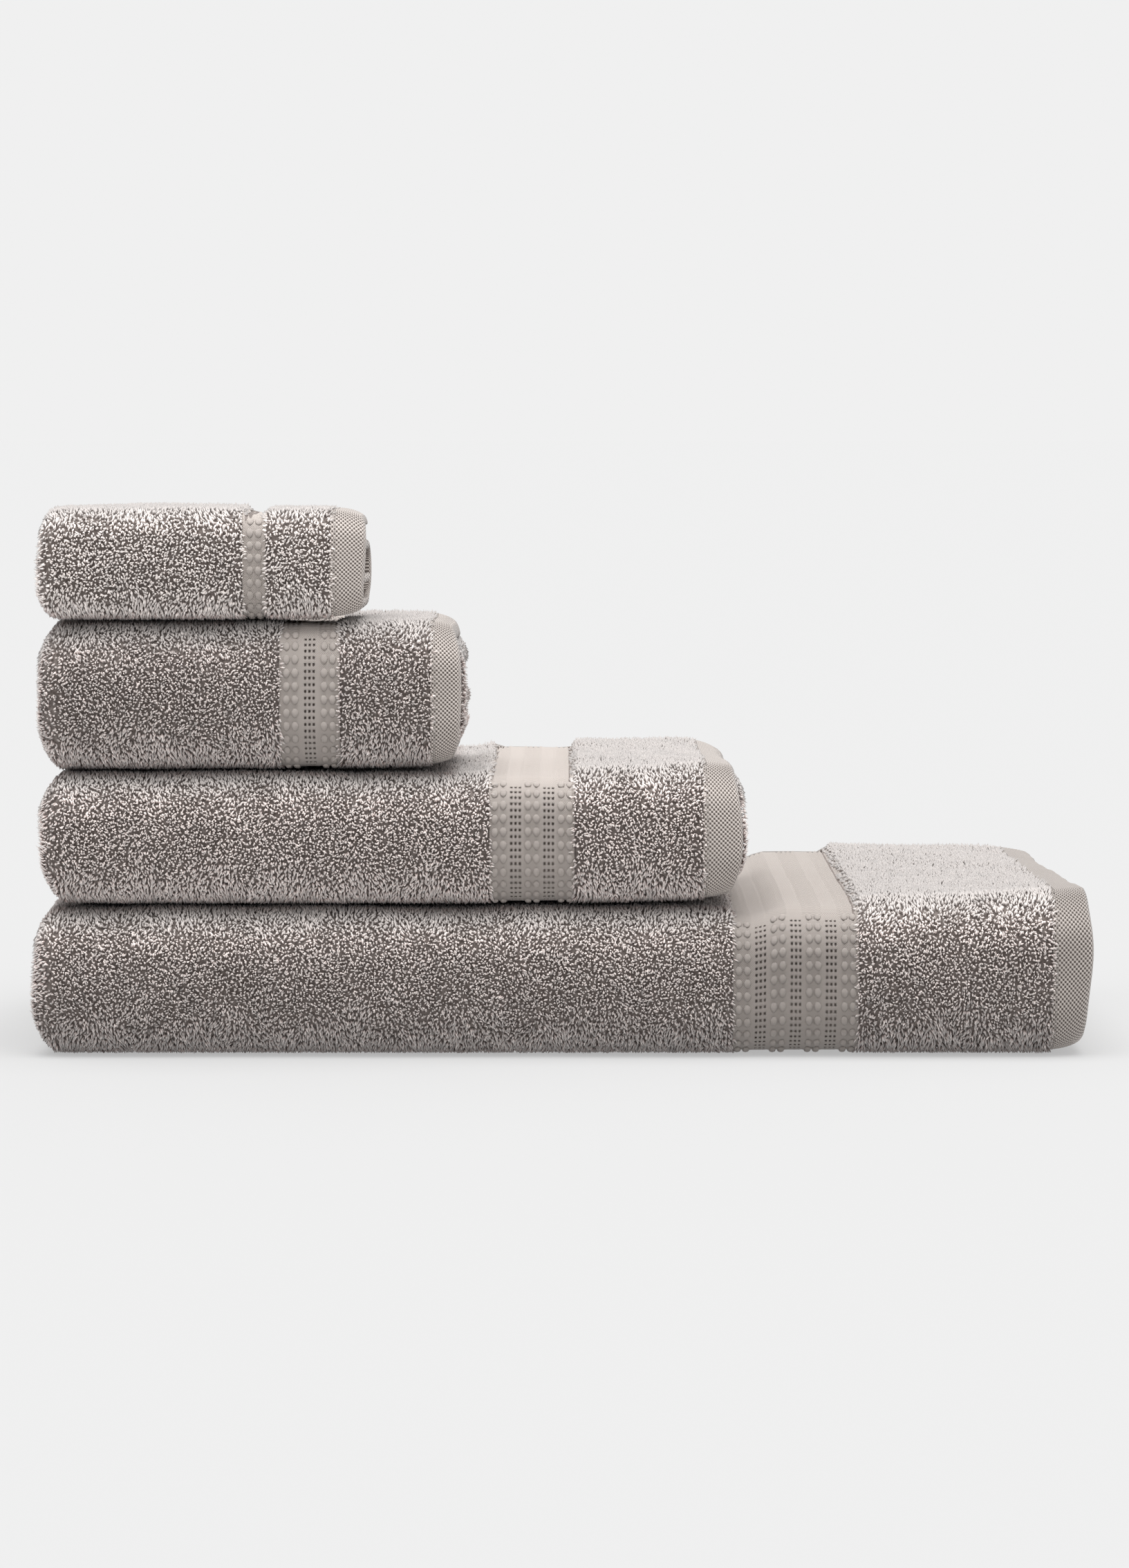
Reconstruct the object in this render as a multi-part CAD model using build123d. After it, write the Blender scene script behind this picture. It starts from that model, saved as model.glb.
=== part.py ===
from build123d import *
import os
from dataclasses import dataclass

# A set of four terry towels, each folded into a long bundle and stacked from large to small.
# X runs along the bundles, the full-height fold of each bundle faces -Y, and +Z is up.
# The origin is under the middle of the bath sheet, on the surface that the stack rests on.
#
# Each cloth is folded twice. Its length is first folded over in layers, which makes a thick strip
# with a fold at the left end and the header hem at the right end. The strip's width is then rolled
# up in panels: the last panel lies on top, its free edge at the back, and the fold that leads to it
# takes the bundle's whole height at the front.


@dataclass
class Towel:
    name: str
    length: float  # along X, from the left fold to the right end
    depth: float  # along Y, from the front fold to the back
    height: float  # along Z, as it lies in the stack
    layers: int  # layers that the cloth's length is folded into
    panels: int  # panels that the strip's width is rolled into
    border: float  # width of the woven border
    end_terry: float  # width of the terry between the border and the header hem
    header_hem: float  # width of the header hem
    hem_step: float  # how far the hem stops short of the fold under it
    left_set: float  # how far the left fold lies inside the bath sheet's
    front_set: float  # how far the front fold lies behind the bath sheet's


bath_sheet = Towel("bath_sheet", 530.0, 333.0, 75.0, 3, 3, 63.0, 96.5, 19.0, 1.0, 0.0, 0.0)
bath_towel = Towel("bath_towel", 355.0, 233.0, 67.0, 4, 3, 42.2, 64.2, 18.0, 5.0, 3.9, 1.0)
hand_towel = Towel("hand_towel", 215.0, 133.0, 75.0, 3, 3, 30.1, 45.0, 13.5, 4.0, 2.7, 1.5)
face_cloth = Towel("face_cloth", 165.0, 83.0, 57.0, 2, 4, 11.7, 31.7, 16.0, 2.5, 3.9, 3.0)
stack = [bath_sheet, bath_towel, hand_towel, face_cloth]

stack_gap = 0.3  # between one bundle and the next
layer_gap = 0.4  # between two layers of one cloth
nest_gap = 1.5  # between a cloth's inner end and the fold that it lies in
pile = 3.0  # height of the terry loops over the flat woven cloth
hem_sink = 1.8  # how far a hem lies below the top of the loops
side_hem = 9.0  # width of the hems along the two long edges
thread_width = 1.0
thread_proud = 0.4
thread_inset = 2.2  # from a header hem's inner edge to its stitching
fold_round = 4.0  # rounding of the outer edge at the left fold


def packet(towel):
    """Thickness of one panel of the rolled strip."""
    return towel.height / towel.panels


def layer(towel):
    """Thickness that one layer of the cloth takes in the strip."""
    return packet(towel) / towel.layers


def turns(towel):
    """Each turn of the roll's outer face, from the outermost, at the front: where its straight panels
    end in y, the heights it leads from and to, and the side it bulges to, 1 in front or -1 behind."""
    found = []
    level = towel.height
    for turn in range(towel.panels - 1):
        side = 1 if turn % 2 == 0 else -1
        inset = (turn // 2) * (packet(towel) + layer_gap) + packet(towel)
        y = inset if side == 1 else towel.depth - inset
        after = level - side * (towel.panels - turn) * packet(towel)
        found.append((y, level, after, side))
        level = after
    return found


def roll_end(towel):
    """The y where the roll's inner free edge lies, and the direction that its last panel runs in."""
    if towel.panels == 2:
        return towel.depth, 1
    direction = 1 if towel.panels % 2 == 0 else -1
    return turns(towel)[-2][0] - direction * nest_gap, direction


def corner(y, z, reach, side, upper):
    """A quarter round about (y, z). It is the first of its turn's two if upper is 1, else the second."""
    slant = reach * 0.5**0.5
    first = (y, z + side * reach) if upper == 1 else (y - side * reach, z)
    middle = (y - side * slant, z + upper * side * slant)
    last = (y - side * reach, z) if upper == 1 else (y, z - side * reach)
    return ThreePointArc(first, middle, last), last


def roll_line(towel, inset, start, end):
    """The roll's outer face moved inwards by inset, from y = start on top to y = end at the inner edge."""
    edges = []
    here = (start, towel.height - inset)
    radius = packet(towel)
    for y, level, after, side in turns(towel):
        edges.append(Line(here, (y, level - side * inset)))
        arc, here = corner(y, level - side * radius, radius - inset, side, 1)
        edges.append(arc)
        straight = abs(level - after) - 2 * radius
        if straight > layer_gap:
            there = (here[0], after + side * radius)
            edges.append(Line(here, there))
        arc, here = corner(y, after + side * radius, radius - inset, side, -1)
        edges.append(arc)
    edges.append(Line(here, (end, here[1])))
    return edges


def roll_section(towel, outer, inner, start, end):
    """Section of a layer between two depths below the roll's outer face."""
    outside = roll_line(towel, outer, start, end)
    inside = roll_line(towel, inner, start, end)
    ends = [Line(outside[0] @ 0, inside[0] @ 0), Line(outside[-1] @ 1, inside[-1] @ 1)]
    return make_face(Curve() + outside + inside + ends)


def cloth_section(towel, outer, inner):
    """The cloth between its two side hems."""
    end, direction = roll_end(towel)
    return roll_section(towel, outer, inner, towel.depth - side_hem, end - direction * side_hem)


def full_section(towel, outer, inner):
    """The cloth over its full width, as at a header hem."""
    end, direction = roll_end(towel)
    return roll_section(towel, outer, inner, towel.depth, end)


def back_hem_section(towel, outer, inner):
    """The side hem on top, at the back."""
    y = towel.depth - side_hem / 2
    return Pos(y, towel.height - (outer + inner) / 2) * Rectangle(side_hem, inner - outer)


def flap_hem_section(towel, outer, inner):
    """The side hem inside the roll, on the free edge of its inner panel."""
    end, direction = roll_end(towel)
    side = 1 if towel.panels % 2 == 0 else -1
    z = turns(towel)[-1][2] + side * (outer + inner) / 2
    return Pos(end - direction * side_hem / 2, z) * Rectangle(side_hem, inner - outer)


def slab(section, left, right):
    """A section carried along the bundle from x = left to x = right."""
    return extrude(Plane.YZ.offset(left) * section, amount=right - left)


def layer_order(towel):
    """Each layer's place in the strip, 0 outermost, in the order met from the outer end of the cloth."""
    low = 0
    high = towel.layers - 1
    order = []
    while low <= high:
        order.append(low)
        low += 1
        if low <= high:
            order.append(high)
            high -= 1
    return order


def layer_depths(towel, place):
    """Depths of a layer's outer and inner face below the roll's outer face."""
    return place * layer(towel), (place + 1) * layer(towel) - layer_gap


def layer_reach(towel, step):
    """The x where a layer begins and ends, for the step-th layer met from the outer end of the cloth."""
    nested = layer(towel) + nest_gap
    left = (step // 2) * nested
    if step == 0:
        return left, towel.length - towel.hem_step
    return left, towel.length - ((step - 1) // 2) * nested


def header_zones(towel, edge, direction):
    """The x ranges of hem, end terry and border, counted from a cloth end at x = edge."""
    ranges = []
    here = edge
    for width in (towel.header_hem, towel.end_terry, towel.border):
        there = here + direction * width
        ranges.append((min(here, there), max(here, there)))
        here = there
    return ranges, here


def inner_end(towel):
    """The x of the cloth's inner end, and the direction from it into the cloth."""
    left, right = layer_reach(towel, towel.layers - 1)
    return (left, 1) if towel.layers % 2 == 1 else (right, -1)


def folded_strips(towel, section, outer_stop, inner_stop):
    """One continuous folded length of cloth, between a stop on its outer and one on its inner layer."""
    order = layer_order(towel)
    thick = layer(towel) - layer_gap
    last = towel.layers - 1
    pieces = []
    for step, place in enumerate(order):
        left, right = layer_reach(towel, step)
        if step == 0:
            right = outer_stop
        if step == last and inner_end(towel)[1] == 1:
            left = inner_stop
        if step == last and inner_end(towel)[1] == -1:
            right = inner_stop
        pieces.append(slab(section(towel, *layer_depths(towel, place)), left, right))
        if step == last:
            break
        outer = layer_depths(towel, min(place, order[step + 1]))[0]
        inner = layer_depths(towel, max(place, order[step + 1]))[1]
        left, right = layer_reach(towel, step + 1)
        edge = left if step % 2 == 0 else right - thick
        pieces.append(slab(section(towel, outer, inner), edge, edge + thick))
    return pieces[0].fuse(*pieces[1:])


def rounded_left(shape):
    """Rounds the outer edge of the left fold, all along the roll's outer face."""
    at_left = shape.edges().filter_by_position(Axis.X, -fold_round / 100, fold_round / 100)
    return fillet(at_left.filter_by(Axis.Y).sort_by(Axis.Z)[-1], fold_round)


def make_towel(towel):
    """All pieces of one folded towel, its left fold at x = 0, its front at y = 0 and its base at z = 0."""
    outer_edge = towel.length - towel.hem_step
    (hem, end_terry, border), outer_stop = header_zones(towel, outer_edge, -1)
    inner_edge, direction = inner_end(towel)
    (inner_hem, inner_terry, inner_border), inner_stop = header_zones(towel, inner_edge, direction)
    face, under = layer_depths(towel, 0)
    inner_place = layer_order(towel)[-1]
    inner_face, inner_under = layer_depths(towel, inner_place)

    stitch = hem[0] + thread_inset
    inner_stitch = inner_hem[1] - thread_inset if direction == 1 else inner_hem[0] + thread_inset
    half = thread_width / 2
    thread = full_section(towel, hem_sink - thread_proud, hem_sink)
    inner_thread = full_section(towel, inner_face + hem_sink - thread_proud, inner_face + hem_sink)
    main = folded_strips(towel, cloth_section, outer_stop, inner_stop)
    hem_stop = hem[0]
    inner_hem_stop = inner_hem[1] if direction == 1 else inner_hem[0]

    return {
        "main_terry": rounded_left(main),
        "border": slab(cloth_section(towel, pile, under), *border),
        "end_terry": slab(cloth_section(towel, face, under), *end_terry),
        "header_hem": slab(full_section(towel, hem_sink, under), *hem),
        "header_thread": slab(thread, stitch - half, stitch + half),
        "inner_border": slab(cloth_section(towel, inner_face + pile, inner_under), *inner_border),
        "inner_end_terry": slab(cloth_section(towel, inner_face, inner_under), *inner_terry),
        "inner_header_hem": slab(full_section(towel, inner_face + hem_sink, inner_under), *inner_hem),
        "inner_header_thread": slab(inner_thread, inner_stitch - half, inner_stitch + half),
        "back_side_hem": folded_strips(towel, back_hem_section, hem_stop, inner_hem_stop),
        "flap_side_hem": folded_strips(towel, flap_hem_section, hem_stop, inner_hem_stop),
    }


def place_in_stack(towel):
    """Where a bundle's own corner goes in the stack."""
    below = stack[: stack.index(towel)]
    base = sum(other.height + stack_gap for other in below)
    left = towel.left_set - bath_sheet.length / 2
    front = towel.front_set - bath_sheet.depth / 2
    return Pos(left, front, base)


os.makedirs("parts", exist_ok=True)
for towel in stack:
    for piece, shape in make_towel(towel).items():
        node = towel.name + "_" + piece
        shape.label = node
        export_step(place_in_stack(towel) * shape, "parts/" + node + ".step")
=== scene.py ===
import bmesh
import bpy
import math
import numpy as np
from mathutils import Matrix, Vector


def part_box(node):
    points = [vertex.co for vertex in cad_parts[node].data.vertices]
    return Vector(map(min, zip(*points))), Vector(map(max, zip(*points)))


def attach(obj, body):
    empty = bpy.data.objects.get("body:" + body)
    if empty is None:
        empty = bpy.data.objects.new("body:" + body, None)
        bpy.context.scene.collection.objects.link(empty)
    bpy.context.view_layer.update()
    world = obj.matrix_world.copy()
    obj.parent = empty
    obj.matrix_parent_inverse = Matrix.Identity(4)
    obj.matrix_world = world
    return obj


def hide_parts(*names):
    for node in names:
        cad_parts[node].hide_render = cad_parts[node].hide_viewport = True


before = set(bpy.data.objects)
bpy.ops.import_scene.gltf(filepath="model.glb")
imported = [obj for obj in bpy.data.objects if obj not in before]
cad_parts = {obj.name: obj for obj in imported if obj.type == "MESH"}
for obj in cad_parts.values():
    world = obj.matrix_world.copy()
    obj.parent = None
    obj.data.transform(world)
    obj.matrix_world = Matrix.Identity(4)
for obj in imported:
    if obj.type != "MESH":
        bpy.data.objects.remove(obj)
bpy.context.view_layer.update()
mm = 0.001

# Each towel is folded twice. Its length is folded over in layers, then that strip is rolled up in
# panels. A place on the flat cloth is (u, s, w): u from the outer header hem's edge along the
# length, s from the long edge that ends on top at the back, w above the ground weave.

# cut is the flat width and length in metres, and other sizes are in mm. puff is how far the uncovered
# top swells. At the right end, topTuck is how far the top rounds down, endBulge how far its corners
# draw in, heel how far the underside lifts, and topDroop how far the back hangs over droopReach.
# sinkTop and sinkUnder are how far the border lies inside the terry beside it. tone sets how pale the loops
# are, and the front light after it is painted light that makes the upper front paler and the lower front
# darker. softness is how much of the loops' painted root shade is taken away, and shade is how pale the flat
# weaves are, painted light that makes the weaves of the higher towels paler.

towelSet = {
    "bath_sheet": {
        "layers": 3, "panels": 3, "cut": (1.00, 1.60), "ladders": 3, "restsOn": "floor", "seed": 11,
        "puff": 6.0, "topTuck": 1.5, "endBulge": 3.2, "heel": 0.0, "topDroop": 4.0, "droopReach": 52.0,
        "sinkTop": 4.0, "sinkUnder": 0.5, "tone": 0.52, "paintedFrontLight": 0.30, "softness": 0.0, "shade": 0.95,
    },
    "bath_towel": {
        "layers": 4, "panels": 3, "cut": (0.70, 1.40), "ladders": 2, "restsOn": "bath_sheet_cloth",
        "puff": 4.0, "topTuck": 7.0, "endBulge": 7.0, "heel": 2.5, "topDroop": 6.0, "droopReach": 32.0,
        "sinkTop": 4.0, "sinkUnder": 1.6, "tone": 0.66, "paintedFrontLight": 0.08, "softness": 0.0, "shade": 1.16,
        "seed": 23,
    },
    "hand_towel": {
        "layers": 3, "panels": 3, "cut": (0.40, 0.65), "ladders": 1, "restsOn": "bath_towel_cloth",
        "puff": 1.0, "topTuck": 7.0, "endBulge": 5.0, "heel": 1.5, "topDroop": 3.0, "droopReach": 20.0,
        "sinkTop": 1.0, "sinkUnder": 2.2, "tone": 0.56, "paintedFrontLight": 0.05, "softness": 0.0, "shade": 1.18,
        "seed": 37,
    },
    "face_cloth": {
        "layers": 2, "panels": 4, "cut": (0.33, 0.33), "ladders": 0, "restsOn": "hand_towel_cloth",
        "puff": 0.0, "topTuck": 6.0, "endBulge": 1.5, "heel": 0.4, "topDroop": 2.0, "droopReach": 14.0,
        "sinkTop": 3.0, "sinkUnder": 3.0, "tone": 0.67, "paintedFrontLight": 0.03, "softness": 0.42, "shade": 1.28,
        "seed": 53,
    },
}

foldShape = {
    "pile": 2.7,  # ground weave to the tips of the loops
    "layerGap": 0.35,
    "arcStep": 9.0,  # degrees between points round a fold
    "shortEnd": 6.0,  # how far the inner end stops short in a cloth of two layers
}


def nearness(distance, reach):
    # 1 at no distance, falling to 0 at a reach in mm
    return np.clip(1 - distance / (reach * mm), 0, 1)


def foldedPath(start, edges, levels, end, mostRadius):
    # a line that runs to and fro between levels: columns are length, a, b, and the outward normal
    points = [(start, levels[0], 0.0, 1.0)]
    marks = [0]
    steps = round(90 / foldShape["arcStep"])
    for turn, edge in enumerate(edges):
        side = 1 if turn % 2 == 0 else -1
        radius = min(mostRadius, abs(levels[turn + 1] - levels[turn]) / 2)
        middle = edge + side * radius
        marks.append(len(points))
        for part, level in enumerate((levels[turn] - side * radius, levels[turn + 1] + side * radius)):
            for step in range(steps + 1):
                angle = math.radians(90 + 180 * turn + 90 * part + 90 * step / steps)
                across, up = math.cos(angle), math.sin(angle)
                points.append((middle + radius * across, level + radius * up, across, up))
        marks.append(len(points) - 1)
    side = 1 if len(edges) % 2 == 0 else -1
    points.append((end, levels[-1], 0.0, float(side)))
    marks.append(len(points) - 1)
    table = np.array(points)
    run = np.hypot(*np.diff(table[:, :2], axis=0).T)
    length = np.concatenate([[0.0], np.cumsum(np.maximum(run, 1e-7))])
    return {"table": np.column_stack([length, table]), "marks": [length[m] for m in marks]}


def onPath(path, where):
    table = path["table"]
    inside = np.clip(where, 0, table[-1, 0])
    a, b, na, nb = (np.interp(inside, table[:, 0], table[:, column]) for column in (1, 2, 3, 4))
    size = np.hypot(na, nb)
    na, nb = na / size, nb / size
    return a - (where - inside) * nb, b, na, nb  # a little past either end it runs on straight


def smoothWave(x, y, seed, reach):
    # a slow, seeded swell between -1 and 1
    rng = np.random.default_rng(seed)
    sizes = (1.0, 0.6, 0.37)
    total = 0
    for size in sizes:
        angle, phase = rng.uniform(0, 2 * math.pi, 2)
        turn = (x * math.cos(angle) + y * math.sin(angle)) / (reach * size) * 2 * math.pi
        total = total + size * np.sin(turn + phase)
    return total / sum(sizes)


def coveredTo(name):
    # the x up to which the next towel lies on this one
    names = list(towelSet)
    if name == names[-1]:
        return -1.0
    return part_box(names[names.index(name) + 1] + "_main_terry")[1].x


def layerOrder(layers):
    # each layer's place in the strip, 0 outermost, in the order met from the outer end
    order = []
    places = list(range(layers))
    while places:
        order.append(places.pop(0))
        if places:
            order.append(places.pop())
    return order


def foldLayers(layers, length, hemEnd, layer, thick):
    # the path of the cloth's length, to and fro through its layers, in x and height
    pile, gap = foldShape["pile"] * mm, foldShape["layerGap"] * mm
    levels = []
    for step, place in enumerate(layerOrder(layers)):
        middle = pile + thick / 2 if place == 0 else (place + 0.5) * layer
        levels.append(pile - middle + (thick / 2 if step % 2 == 0 else -thick / 2))
    nested = layer + gap
    edges = []
    for turn in range(layers - 1):
        inset = (turn // 2) * nested + pile
        edges.append(inset if turn % 2 == 0 else length - inset)
    shortBy = nested if layers > 2 else foldShape["shortEnd"] * mm
    freeEnd = nested + pile if layers % 2 else length - shortBy
    return foldedPath(hemEnd, edges, levels, freeEnd, length)


def rollPanels(panels, depth, height, packet):
    # the path of the roll's outer ground weave, from the back edge on top, in y and z
    pile, gap = foldShape["pile"] * mm, foldShape["layerGap"] * mm
    edges, levels = [], [height - pile]
    flip = height
    for turn in range(panels - 1):
        side = 1 if turn % 2 == 0 else -1
        inset = (turn // 2) * (packet + gap) + pile
        edges.append(inset if side == 1 else depth - inset)
        flip -= side * (panels - turn) * packet
        levels.append(flip + side * pile)
    freeSide = packet + 2 * gap if panels % 2 else depth - packet - 2 * gap
    return foldedPath(depth, edges, levels, freeSide, packet - pile)


def measureTowel(name, spec):
    boxes = [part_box(node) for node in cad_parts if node.startswith(name)]
    low = np.array([min(box[0][k] for box in boxes) for k in range(3)])
    high = np.array([max(box[1][k] for box in boxes) for k in range(3)])
    length, depth, height = high - low
    packet = height / spec["panels"]
    layer = packet / spec["layers"]
    thick = layer - (foldShape["pile"] + foldShape["layerGap"]) * mm
    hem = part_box(name + "_header_hem")
    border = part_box(name + "_border")
    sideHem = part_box(name + "_back_side_hem")
    lengthPath = foldLayers(spec["layers"], length, hem[1].x - low[0], layer, thick)
    return {
        "name": name, "spec": spec, "seed": spec["seed"],
        "low": low, "length": length, "depth": depth, "height": height, "thick": thick,
        "lengthPath": lengthPath,
        "rollPath": rollPanels(spec["panels"], depth, height, packet),
        "hem": (0.0, hem[1].x - hem[0].x),
        "endTerry": (hem[1].x - hem[0].x, hem[1].x - border[1].x),
        "border": (hem[1].x - border[1].x, hem[1].x - border[0].x),
        "main": (hem[1].x - border[0].x, lengthPath["marks"][1]),
        "leftTurn": (lengthPath["marks"][1], lengthPath["marks"][2]),
        "sideHem": sideHem[1].y - sideHem[0].y,
        "band": (border[0].x - low[0] - mm, border[1].x - low[0] + mm),
        "coverRight": coveredTo(name) - low[0],
    }


slump = {
    "endReach": (14.0, 24.0),  # how far from the left and right end the bundle starts to round off
    "endTuck": (8.0, 7.0),  # how much it loses in height there: left, right below
    "endPull": 8.0,  # how far the front fold draws back there
    "cornerReach": 32.0,  # how far from an end its corners draw in
    "leftCorner": 0.7,  # the left end's share of the right end's draw
    "frontBulge": 5.0,
    "frontShare": 0.3,  # how far back the front's shape reaches, as a share of the height
    "puffReach": 20.0,  # how soon the top swells past the towel that lies on it
    "curl": 1.2,  # how much more it swells at the front of the right end
    "curlReach": 90.0,
    "curlBack": 0.6,  # share of the depth that curls
    "heelReach": 130.0,
    "bandEdge": 2.5,  # how soon the border sinks
    "bandFront": (18.0, 10.0),  # it sinks underneath only this far back, fading over the second
    "floorGive": 0.02,
    "wave": 0.9,  # slow unevenness of the whole bundle
    "frontWave": 1.4,  # how many times as uneven the front and the ends are
    "endWave": 1.2,
    "waveReach": (0.13, 0.09, 0.07),  # top, front and ends, in metres
}


def roundEnds(t, x, y, z):
    # the ends round off, their corners draw in, and the front is full
    middle = t["height"] / 2
    nearLeft = nearness(x, slump["endReach"][0])
    nearRight = nearness(t["length"] - x, slump["endReach"][1])
    nearEnd = np.maximum(nearLeft, nearRight)
    rounding = 1 - np.sqrt(1 - nearEnd**2)
    leftTuck, rightUnder = slump["endTuck"]
    tuck = np.where(nearLeft > 0, leftTuck, np.where(z > middle, t["spec"]["topTuck"], rightUnder)) * mm
    farOut = np.abs((z - middle) / middle) ** 3
    z = middle + (z - middle) * (1 - tuck / middle * rounding)
    towardsLeft = nearness(x, slump["cornerReach"]) ** 2
    towardsRight = nearness(t["length"] - x, slump["cornerReach"]) ** 2
    x = x + t["spec"]["endBulge"] * mm * farOut * (slump["leftCorner"] * towardsLeft - towardsRight)
    front = np.exp(-np.maximum(y, 0) / (slump["frontShare"] * t["height"]))
    y = y + front * slump["endPull"] * mm * rounding
    y = y + front * slump["frontBulge"] * mm * ((z - middle) / middle) ** 2
    return x, y, z, nearEnd, front


def swellTop(t, x, y, z):
    # the right end droops at the back and curls at the front, and the uncovered top swells
    spec, height = t["spec"], t["height"]
    fromRight = t["length"] - x
    droop = nearness(fromRight, spec["droopReach"]) ** 2
    back = 0.1 + np.clip(y / t["depth"], 0, 1) ** 2
    z = z - spec["topDroop"] * mm * droop * back * np.clip(z / height, 0, 1) ** 1.5
    free = 1 - nearness(x - t["coverRight"], slump["puffReach"])
    curl = nearness(fromRight, slump["curlReach"]) ** 2
    curl = curl * np.clip(1 - y / (slump["curlBack"] * t["depth"]), 0, 1)
    heel = nearness(fromRight, slump["heelReach"]) ** 2 * np.clip(1 - z / height, 0, 1)
    z = z + spec["heel"] * mm * heel
    puff = spec["puff"] * mm * (free * free * (3 - 2 * free) + slump["curl"] * curl)
    return z + puff * np.clip(z / height, 0, 1)


def sinkBorder(t, x, y, z):
    # the border is thinner than the terry on both sides, so the bundle is slimmer there
    low, high = t["band"]
    edge = slump["bandEdge"] * mm
    band = np.clip((x - low) / edge, 0, 1) * np.clip((high - x) / edge, 0, 1)
    top = np.clip(z / t["height"], 0, 1) ** 4
    under = np.clip(1 - z / t["height"], 0, 1) ** 4
    reach, fade = slump["bandFront"]
    under = under * np.clip((reach * mm - y) / (fade * mm), 0, 1)
    return z + mm * band * (t["spec"]["sinkUnder"] * under - t["spec"]["sinkTop"] * top)


def settle(t, x, y, z):
    # lets the bundle slump, with slow waves over it
    x, y, z, nearEnd, front = roundEnds(t, x, y, z)
    z = swellTop(t, x, y, z)
    z = sinkBorder(t, x, y, z)
    z = np.maximum(z, slump["floorGive"] * z)  # nothing sinks below what the bundle lies on
    wave, seed = slump["wave"] * mm, t["seed"]
    topReach, frontReach, endReach = slump["waveReach"]
    rise = np.clip(z / t["height"], 0, 1)
    z = z + wave * rise * smoothWave(x, y, seed, topReach)
    y = y + wave * slump["frontWave"] * front * smoothWave(x, z, seed + 1, frontReach)
    x = x + wave * slump["endWave"] * nearEnd * smoothWave(y, z, seed + 2, endReach)
    return np.column_stack([x, y, z]) + t["low"]


def fold(t, u, s, w):
    x, drop, nx, nd = onPath(t["lengthPath"], u)
    x = x + w * nx
    depth = -(drop + w * nd)
    y, z, ny, nz = onPath(t["rollPath"], s)
    return settle(t, x, y - depth * ny, z - depth * nz)


def foldMesh(t, me, flat):
    # takes a mesh's vertices, given flat as (u, s, w), to their places in the folded towel
    me.vertices.foreach_set("co", fold(t, *flat.T).astype(np.float32).ravel())
    me.update()


def newPiece(name, me, material):
    piece = bpy.data.objects.new(name, me)
    bpy.context.scene.collection.objects.link(piece)
    me.materials.append(material)
    return piece


def giveWall(piece, thickness):
    wall = piece.modifiers.new("wall", "SOLIDIFY")
    wall.thickness = thickness
    wall.offset = -1


def finishMesh(bm, name, smooth=True):
    me = bpy.data.meshes.new(name)
    bm.to_mesh(me)
    bm.free()
    me.polygons.foreach_set("use_smooth", [smooth] * len(me.polygons))
    return me


def shapePoints(me):
    return np.array([v.co for v in me.vertices])


def cutsAlong(path, low, high, step, atFolds=True):
    # places between low and high: every point of a fold, and even steps on the straight
    table = path["table"][:, 0] if atFolds else []
    stops = [low] + [x for x in table if low < x < high] + [high]
    cuts = [stops[0]]
    for there in stops[1:]:
        start = cuts[-1]
        gap = there - start
        parts = max(1, math.ceil(gap / step - 0.01))
        if gap > 1e-5:
            cuts.extend(start + gap * (k + 1) / parts for k in range(parts))
    return np.array(cuts)


def gridMesh(rows, columns):
    # a grid by the operator, with each vertex's row and column
    bm = bmesh.new()
    bmesh.ops.create_grid(bm, x_segments=rows - 1, y_segments=columns - 1, size=1)
    bm.verts.index_update()
    places = np.array([v.co[:2] for v in bm.verts])
    i, j = np.rint((places + 1) / 2 * (rows - 1, columns - 1)).astype(int).T
    return bm, i, j


# ends are where a ramp leaves its dark colour and reaches its pale one. The loops' ramp runs from root to
# tip, and its dark end is painted shade deep in the pile. A flat weave's colours are multiplied by top where
# it faces up, painted light: the hem and stitches darker on top against the strong light from above, the
# border paler on top against the shade of the towel beside it. The loops' colours are multiplied by a share
# of toneRange.
clothLooks = {
    "loop": {
        "dark": (0.085, 0.055, 0.046), "mid": (0.430, 0.344, 0.322), "pale": (0.720, 0.672, 0.646),
        "ends": (0.0, 0.36, 0.8), "toneRange": (0.3, 1.9),
    },
    "ground": {
        # darker than the loops, partly the ground's own colour and partly painted shade for the gaps and
        # holes
        "dark": (0.140, 0.116, 0.105), "pale": (0.260, 0.226, 0.210),
        "ends": (0.35, 0.7), "noise": 420, "bump": 0.6,
    },
    # top is painted light on faces turned up: the border paler against the shade of the towel beside it, the
    # hem and thread darker against the light from above
    "border": {
        "dark": (0.148, 0.124, 0.111), "pale": (0.436, 0.394, 0.364), "ends": (0.2, 0.55), "top": 1.35,
    },
    "hem": {
        "dark": (0.100, 0.083, 0.074), "pale": (0.560, 0.508, 0.472), "ends": (0.28, 0.66), "top": 0.68,
    },
    "thread": {
        "dark": (0.200, 0.172, 0.155), "pale": (0.520, 0.475, 0.442), "ends": (0.2, 0.55), "top": 0.8,
    },
}


def newMaterial(name, roughness, sheen):
    material = bpy.data.materials.new(name)
    material.use_nodes = True
    shader = material.node_tree.nodes["Principled BSDF"]
    shader.inputs["Roughness"].default_value = roughness
    shader.inputs["Sheen Weight"].default_value = sheen
    shader.inputs["Sheen Roughness"].default_value = 0.5
    shader.inputs["Specular IOR Level"].default_value = 0.15
    return material, material.node_tree, shader


def addNode(tree, kind, **values):
    node = tree.nodes.new(kind)
    for key, value in values.items():
        setattr(node, key, value)
    return node


def colourRamp(tree, places, colours):
    ramp = tree.nodes.new("ShaderNodeValToRGB")
    elements = ramp.color_ramp.elements
    while len(elements) < len(places):
        elements.new(0.5)
    for element, place, colour in zip(elements, places, colours):
        element.position = place
        element.color = (*colour, 1)
    return ramp


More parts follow.
